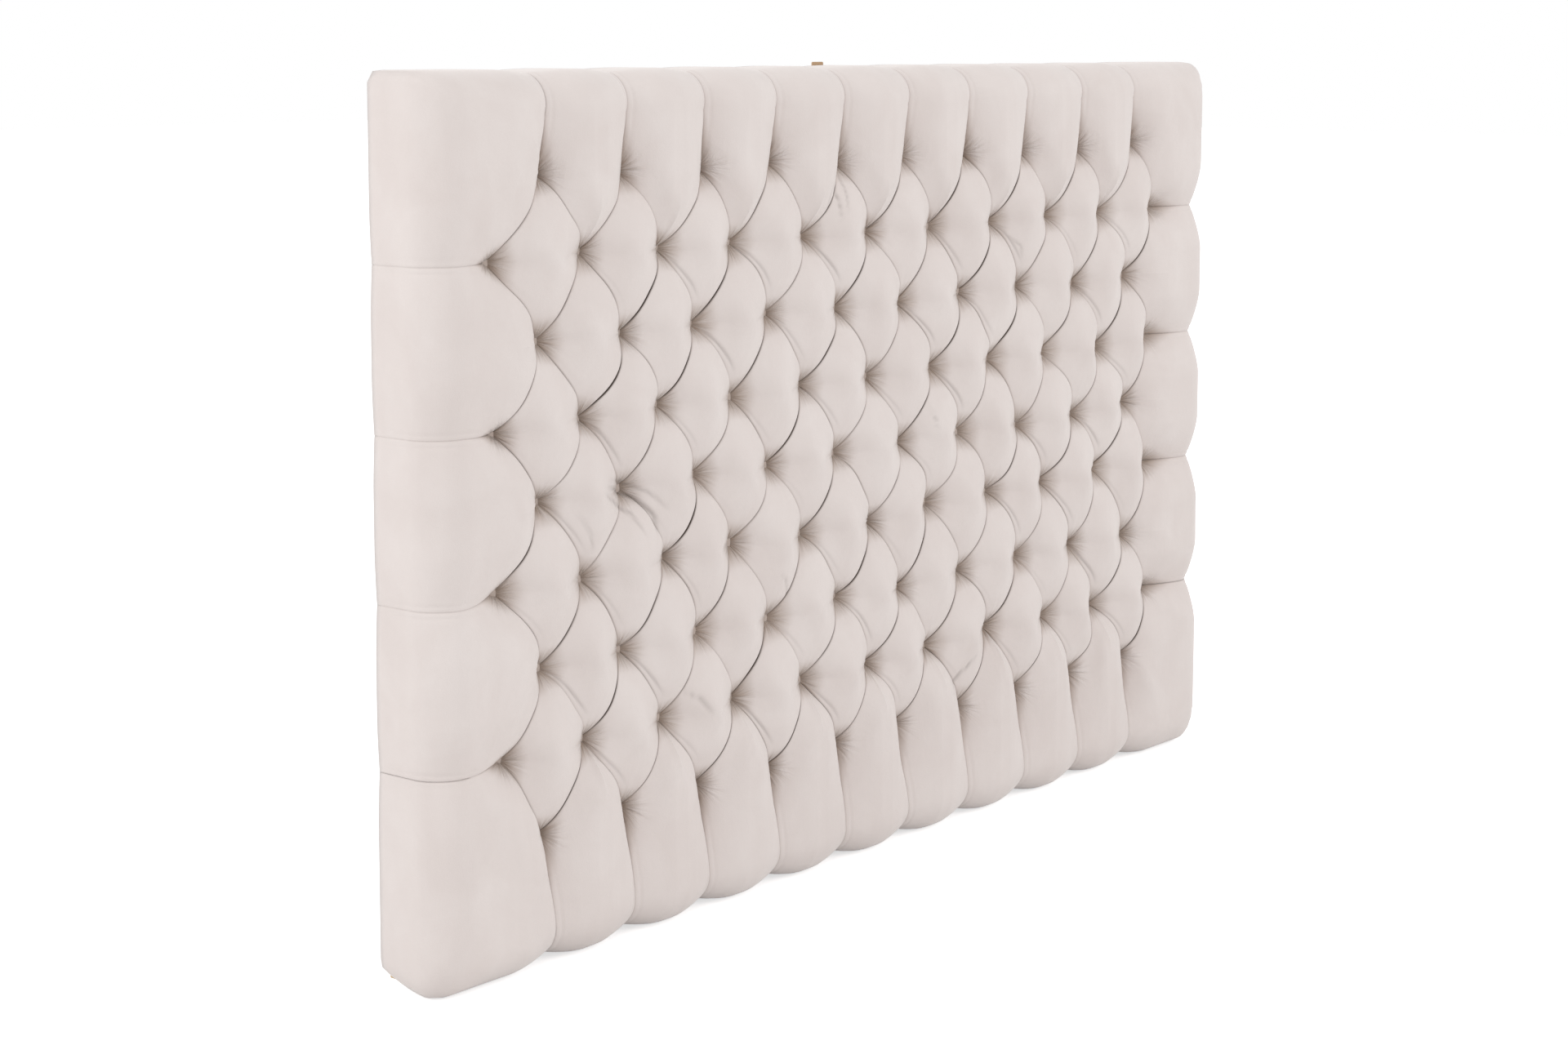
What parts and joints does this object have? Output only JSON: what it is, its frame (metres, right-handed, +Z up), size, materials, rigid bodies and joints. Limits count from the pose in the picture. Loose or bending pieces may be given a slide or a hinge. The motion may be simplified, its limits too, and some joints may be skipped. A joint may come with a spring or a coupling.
{
  "type": "headboard",
  "caption": "Deep-buttoned upholstered headboard that stands on the floor, with diamond tufting, pleats round the edges, a timber frame and inserts for a bed's bolts.",
  "frame": {"origin": "bottom centre of the box round the whole part", "axes": "+X along the width, -Y towards the bed, +Z up"},
  "size_m": [1.8, 0.1272, 1.205],
  "materials": {
    "velvet": "matte",
    "button_velvet": "matte",
    "foam": "matte",
    "plywood": "matte",
    "pine": "matte",
    "steel": "satin",
    "twine": "matte",
    "toggle": "matte",
    "dust_cloth": "matte",
    "tab": "matte"
  },
  "bodies": {
    "root": {"tufted_cover": "velvet", "base_foam": "foam", "buttoning_board": "plywood", "top_rail": "pine", "bottom_rail": "pine", "left_stile": "pine", "left_mid_stile": "pine", "right_mid_stile": "pine", "right_stile": "pine", "corner_blocks": "pine", "joint_staples": "steel", "buttons": "button_velvet", "button_twines": "twine", "twine_toggles": "toggle", "hem_staples": "steel", "dust_cloth": "dust_cloth", "cloth_staples": "steel", "bed_inserts": "steel", "top_tab": "tab"}
  },
  "joints": []
}
